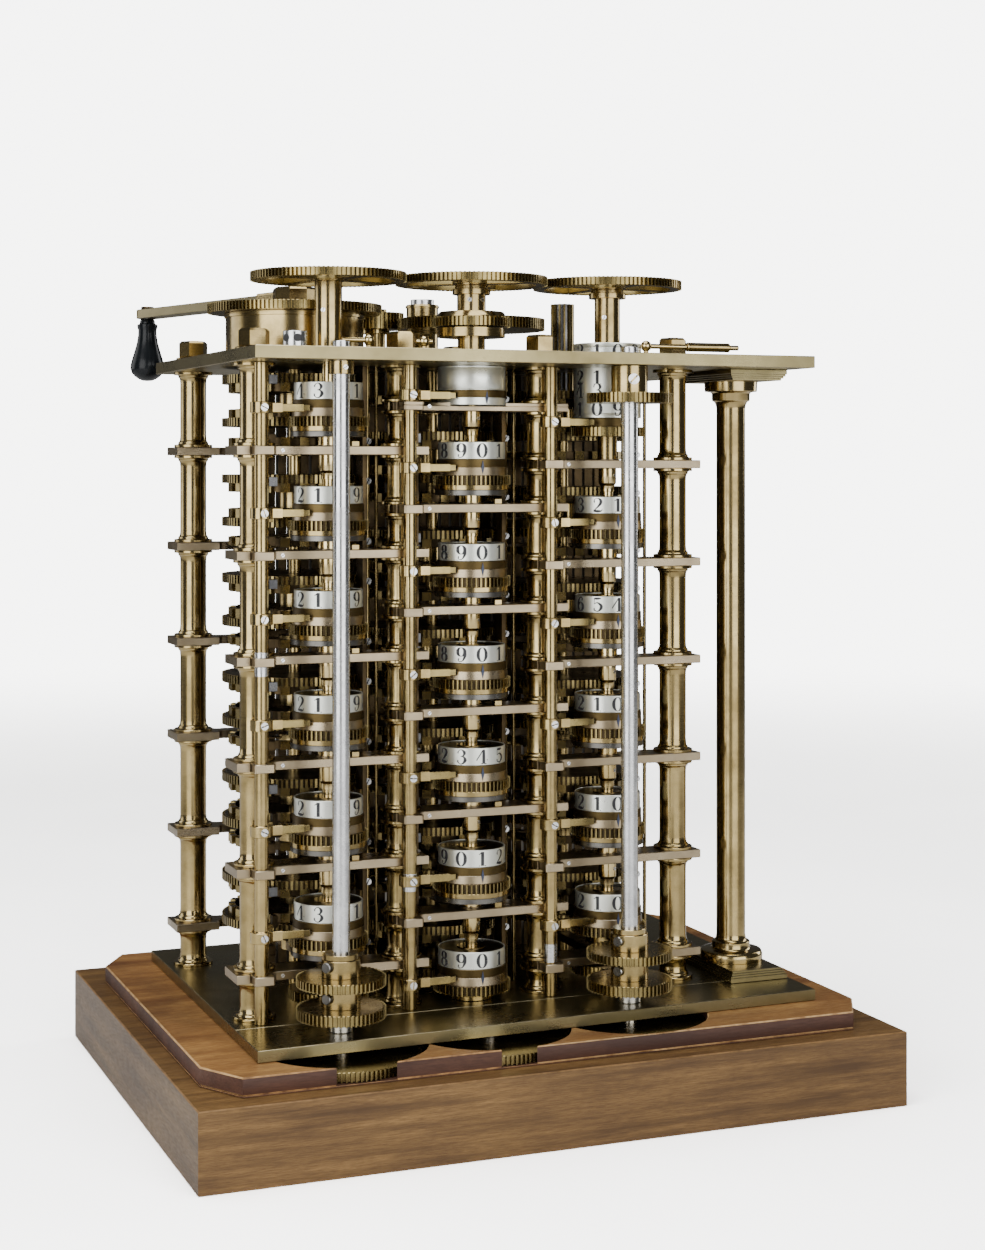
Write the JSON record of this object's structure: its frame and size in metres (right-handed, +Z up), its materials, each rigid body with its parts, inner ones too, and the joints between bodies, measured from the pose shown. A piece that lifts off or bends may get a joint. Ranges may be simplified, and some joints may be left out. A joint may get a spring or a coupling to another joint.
{
  "type": "difference engine",
  "caption": "Brass calculating machine: three columns of figure wheels in a frame of posts and platforms on a wooden plinth, driven through gears by a hand crank.",
  "frame": {"origin": "middle of the plinth's underside", "axes": "+Z up; +X to the right and +Y to the back, seen from the side with the numerals"},
  "size_m": [0.614, 0.5254, 0.7046],
  "materials": {
    "aged_brass": "turned and lacquered brass, browned with age",
    "plate_brass": "flat rolled brass with a dull dark patina and brighter edges",
    "grey_steel": "bright drawn steel, speckled and slightly pitted",
    "silvered_band": "matt silvered numeral ring, pale green grey",
    "dark_ink": "black filled engraving of the plain numerals and index marks",
    "walnut": "brown polished hardwood with a straight grain",
    "worn_walnut": "old varnished hardwood, worn orange on its edges",
    "black_grip": "polished black turned hardwood"
  },
  "bodies": {
    "base": {"plinth": "walnut", "inner_base": "worn_walnut", "base_plate": "plate_brass", "base_strip": "plate_brass", "top_plate": "plate_brass", "frame_1": "aged_brass", "frame_2": "aged_brass", "frame_3": "aged_brass", "front_post": "aged_brass", "back_post": "aged_brass", "front_nut_1": "aged_brass", "front_nut_2": "aged_brass", "front_nut_3": "aged_brass", "front_nut_4": "aged_brass", "back_nut_1": "aged_brass", "back_nut_2": "aged_brass", "back_nut_3": "aged_brass", "back_nut_4": "aged_brass", "pointer_rod_1": "aged_brass", "pointer_rod_2": "aged_brass", "pointer_rod_3": "aged_brass", "corner_column": "aged_brass"},
    "crank": {"crank_wheel": "aged_brass", "crank_arm": "aged_brass", "rear_axis_1": "aged_brass"},
    "grip": {"crank_grip": "black_grip"},
    "idler_gear": {"idler": "aged_brass"},
    "transfer_gear": {"transfer_wheel": "aged_brass"},
    "column_drive_1": {"spindle_1": "aged_brass", "top_gear_1": "aged_brass"},
    "column_drive_2": {"spindle_2": "aged_brass", "top_gear_2": "aged_brass"},
    "column_drive_3": {"spindle_3": "aged_brass", "top_gear_3": "aged_brass"},
    "front_drive_1": {"drive_rod_1": "grey_steel", "under_gear_1": "aged_brass"},
    "front_drive_2": {"under_gear_2": "aged_brass"},
    "front_drive_3": {"drive_rod_3": "grey_steel", "under_gear_3": "aged_brass"},
    "rear_drive_2": {"rear_axis_2": "aged_brass"},
    "rear_drive_3": {"rear_axis_3": "aged_brass"},
    "wheel_1_1": {"figure_wheel_1_1": "aged_brass"},
    "wheel_1_2": {"figure_wheel_1_2": "aged_brass"},
    "wheel_1_3": {"figure_wheel_1_3": "aged_brass"},
    "wheel_1_4": {"figure_wheel_1_4": "aged_brass"},
    "wheel_1_5": {"figure_wheel_1_5": "aged_brass"},
    "wheel_1_6": {"figure_wheel_1_6": "aged_brass"},
    "wheel_2_1": {"figure_wheel_2_1": "aged_brass"},
    "wheel_2_2": {"figure_wheel_2_2": "aged_brass"},
    "wheel_2_3": {"figure_wheel_2_3": "aged_brass"},
    "wheel_2_4": {"figure_wheel_2_4": "aged_brass"},
    "wheel_2_5": {"figure_wheel_2_5": "aged_brass"},
    "wheel_2_6": {"figure_wheel_2_6": "aged_brass"},
    "wheel_3_1": {"figure_wheel_3_1": "aged_brass"},
    "wheel_3_2": {"figure_wheel_3_2": "aged_brass"},
    "wheel_3_3": {"figure_wheel_3_3": "aged_brass"},
    "wheel_3_4": {"figure_wheel_3_4": "aged_brass"},
    "wheel_3_5": {"figure_wheel_3_5": "aged_brass"},
    "counter": {"counter_drum": "aged_brass"},
    "numerals": {"numeral_drum": "aged_brass"}
  },
  "joints": [
    {"name": "crank_turn", "type": "hinge", "parent": "base", "child": "crank", "pos_m": [-0.158, 0.0105, 0.6], "axis": [0, 0, 1], "range_deg": [-55, 120]},
    {"name": "grip_spin", "type": "hinge", "parent": "crank", "child": "grip", "pos_m": [-0.23113, 0.26895, 0.6], "axis": [0, 0, 1], "continuous": true},
    {"name": "idler_turn", "type": "hinge", "parent": "base", "child": "idler_gear", "pos_m": [-0.0686, 0.05461, 0.6], "axis": [0, 0, 1], "range_deg": [-367, 169]},
    {"name": "transfer_turn", "type": "hinge", "parent": "base", "child": "transfer_gear", "pos_m": [0.0048, 0.00279, 0.6], "axis": [0, 0, 1], "range_deg": [-65, 140]},
    {"name": "column_2_turn", "type": "hinge", "parent": "base", "child": "column_drive_2", "pos_m": [-0.03, -0.088, 0.6], "axis": [0, 0, 1], "range_deg": [-283, 131]},
    {"name": "column_1_turn", "type": "hinge", "parent": "base", "child": "column_drive_1", "pos_m": [-0.158, -0.088, 0.6], "axis": [0, 0, 1], "range_deg": [-131, 283]},
    {"name": "column_3_turn", "type": "hinge", "parent": "base", "child": "column_drive_3", "pos_m": [0.098, -0.088, 0.6], "axis": [0, 0, 1], "range_deg": [-131, 283]},
    {"name": "front_rod_1_turn", "type": "hinge", "parent": "base", "child": "front_drive_1", "pos_m": [-0.168, -0.15433, 0.6], "axis": [0, 0, 1], "range_deg": [-258, 119]},
    {"name": "front_gear_2_turn", "type": "hinge", "parent": "base", "child": "front_drive_2", "pos_m": [-0.04, -0.15433, 0.6], "axis": [0, 0, 1], "range_deg": [-119, 258]},
    {"name": "front_rod_3_turn", "type": "hinge", "parent": "base", "child": "front_drive_3", "pos_m": [0.088, -0.15433, 0.6], "axis": [0, 0, 1], "range_deg": [-258, 119]},
    {"name": "rear_axis_2_turn", "type": "hinge", "parent": "base", "child": "rear_drive_2", "pos_m": [-0.03, 0.0105, 0.6], "axis": [0, 0, 1], "range_deg": [-121, 56]},
    {"name": "rear_axis_3_turn", "type": "hinge", "parent": "base", "child": "rear_drive_3", "pos_m": [0.098, 0.0105, 0.6], "axis": [0, 0, 1], "range_deg": [-56, 121]},
    {"name": "figure_wheel_1_1_spin", "type": "hinge", "parent": "base", "child": "wheel_1_1", "pos_m": [-0.158, -0.088, 0.6], "axis": [0, 0, 1], "continuous": true},
    {"name": "figure_wheel_1_2_spin", "type": "hinge", "parent": "base", "child": "wheel_1_2", "pos_m": [-0.158, -0.088, 0.6], "axis": [0, 0, 1], "continuous": true},
    {"name": "figure_wheel_1_3_spin", "type": "hinge", "parent": "base", "child": "wheel_1_3", "pos_m": [-0.158, -0.088, 0.6], "axis": [0, 0, 1], "continuous": true},
    {"name": "figure_wheel_1_4_spin", "type": "hinge", "parent": "base", "child": "wheel_1_4", "pos_m": [-0.158, -0.088, 0.6], "axis": [0, 0, 1], "continuous": true},
    {"name": "figure_wheel_1_5_spin", "type": "hinge", "parent": "base", "child": "wheel_1_5", "pos_m": [-0.158, -0.088, 0.6], "axis": [0, 0, 1], "continuous": true},
    {"name": "figure_wheel_1_6_spin", "type": "hinge", "parent": "base", "child": "wheel_1_6", "pos_m": [-0.158, -0.088, 0.6], "axis": [0, 0, 1], "continuous": true},
    {"name": "figure_wheel_2_1_spin", "type": "hinge", "parent": "base", "child": "wheel_2_1", "pos_m": [-0.03, -0.088, 0.6], "axis": [0, 0, 1], "continuous": true},
    {"name": "figure_wheel_2_2_spin", "type": "hinge", "parent": "base", "child": "wheel_2_2", "pos_m": [-0.03, -0.088, 0.6], "axis": [0, 0, 1], "continuous": true},
    {"name": "figure_wheel_2_3_spin", "type": "hinge", "parent": "base", "child": "wheel_2_3", "pos_m": [-0.03, -0.088, 0.6], "axis": [0, 0, 1], "continuous": true},
    {"name": "figure_wheel_2_4_spin", "type": "hinge", "parent": "base", "child": "wheel_2_4", "pos_m": [-0.03, -0.088, 0.6], "axis": [0, 0, 1], "continuous": true},
    {"name": "figure_wheel_2_5_spin", "type": "hinge", "parent": "base", "child": "wheel_2_5", "pos_m": [-0.03, -0.088, 0.6], "axis": [0, 0, 1], "continuous": true},
    {"name": "figure_wheel_2_6_spin", "type": "hinge", "parent": "base", "child": "wheel_2_6", "pos_m": [-0.03, -0.088, 0.6], "axis": [0, 0, 1], "continuous": true},
    {"name": "figure_wheel_3_1_spin", "type": "hinge", "parent": "base", "child": "wheel_3_1", "pos_m": [0.098, -0.088, 0.6], "axis": [0, 0, 1], "continuous": true},
    {"name": "figure_wheel_3_2_spin", "type": "hinge", "parent": "base", "child": "wheel_3_2", "pos_m": [0.098, -0.088, 0.6], "axis": [0, 0, 1], "continuous": true},
    {"name": "figure_wheel_3_3_spin", "type": "hinge", "parent": "base", "child": "wheel_3_3", "pos_m": [0.098, -0.088, 0.6], "axis": [0, 0, 1], "continuous": true},
    {"name": "figure_wheel_3_4_spin", "type": "hinge", "parent": "base", "child": "wheel_3_4", "pos_m": [0.098, -0.088, 0.6], "axis": [0, 0, 1], "continuous": true},
    {"name": "figure_wheel_3_5_spin", "type": "hinge", "parent": "base", "child": "wheel_3_5", "pos_m": [0.098, -0.088, 0.6], "axis": [0, 0, 1], "continuous": true},
    {"name": "counter_drum_spin", "type": "hinge", "parent": "base", "child": "counter", "pos_m": [-0.03, -0.088, 0.6], "axis": [0, 0, 1], "continuous": true},
    {"name": "numeral_drum_spin", "type": "hinge", "parent": "base", "child": "numerals", "pos_m": [0.098, -0.088, 0.6], "axis": [0, 0, 1], "continuous": true}
  ],
  "couplings": [
    {"joint": "idler_turn", "follows": "crank_turn", "ratio": -3.05},
    {"joint": "transfer_turn", "follows": "crank_turn", "ratio": 1.1509},
    {"joint": "column_2_turn", "follows": "crank_turn", "ratio": -2.3462},
    {"joint": "column_1_turn", "follows": "crank_turn", "ratio": 2.3462},
    {"joint": "column_3_turn", "follows": "crank_turn", "ratio": 2.3462},
    {"joint": "front_rod_1_turn", "follows": "crank_turn", "ratio": -2.1404},
    {"joint": "front_gear_2_turn", "follows": "crank_turn", "ratio": 2.1404},
    {"joint": "front_rod_3_turn", "follows": "crank_turn", "ratio": -2.1404},
    {"joint": "rear_axis_2_turn", "follows": "crank_turn", "ratio": -1},
    {"joint": "rear_axis_3_turn", "follows": "crank_turn", "ratio": 1}
  ]
}
